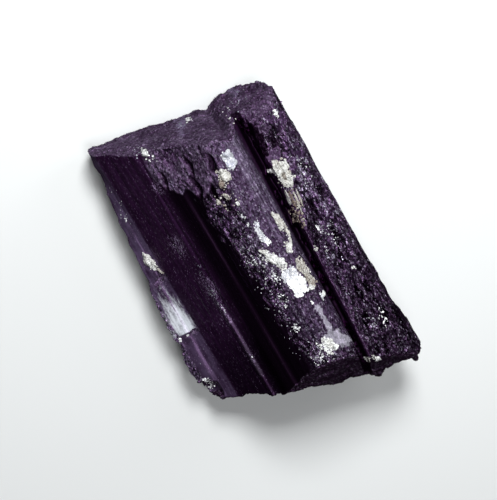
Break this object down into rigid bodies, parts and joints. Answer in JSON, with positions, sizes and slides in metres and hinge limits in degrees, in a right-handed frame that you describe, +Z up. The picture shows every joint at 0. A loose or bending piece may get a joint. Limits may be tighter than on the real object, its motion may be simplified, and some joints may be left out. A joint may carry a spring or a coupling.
{
  "type": "tourmaline crystal",
  "caption": "Broken black tourmaline crystal, a fluted three-sided prism lying on its flattest face, with rough broken ends and pale mica and feldspar crust.",
  "frame": {"origin": "centre of the bounding box in X and Y, at the height of the face the crystal lies on", "axes": "+X along the crystal from the square break to the sloping break, +Y towards the rough face, +Z up, away from the face it lies on"},
  "size_m": [0.0498, 0.031, 0.0184],
  "materials": {
    "crystal": null,
    "feldspar": null,
    "mica": null
  },
  "bodies": {
    "root": {"crystal": "crystal"}
  },
  "joints": []
}
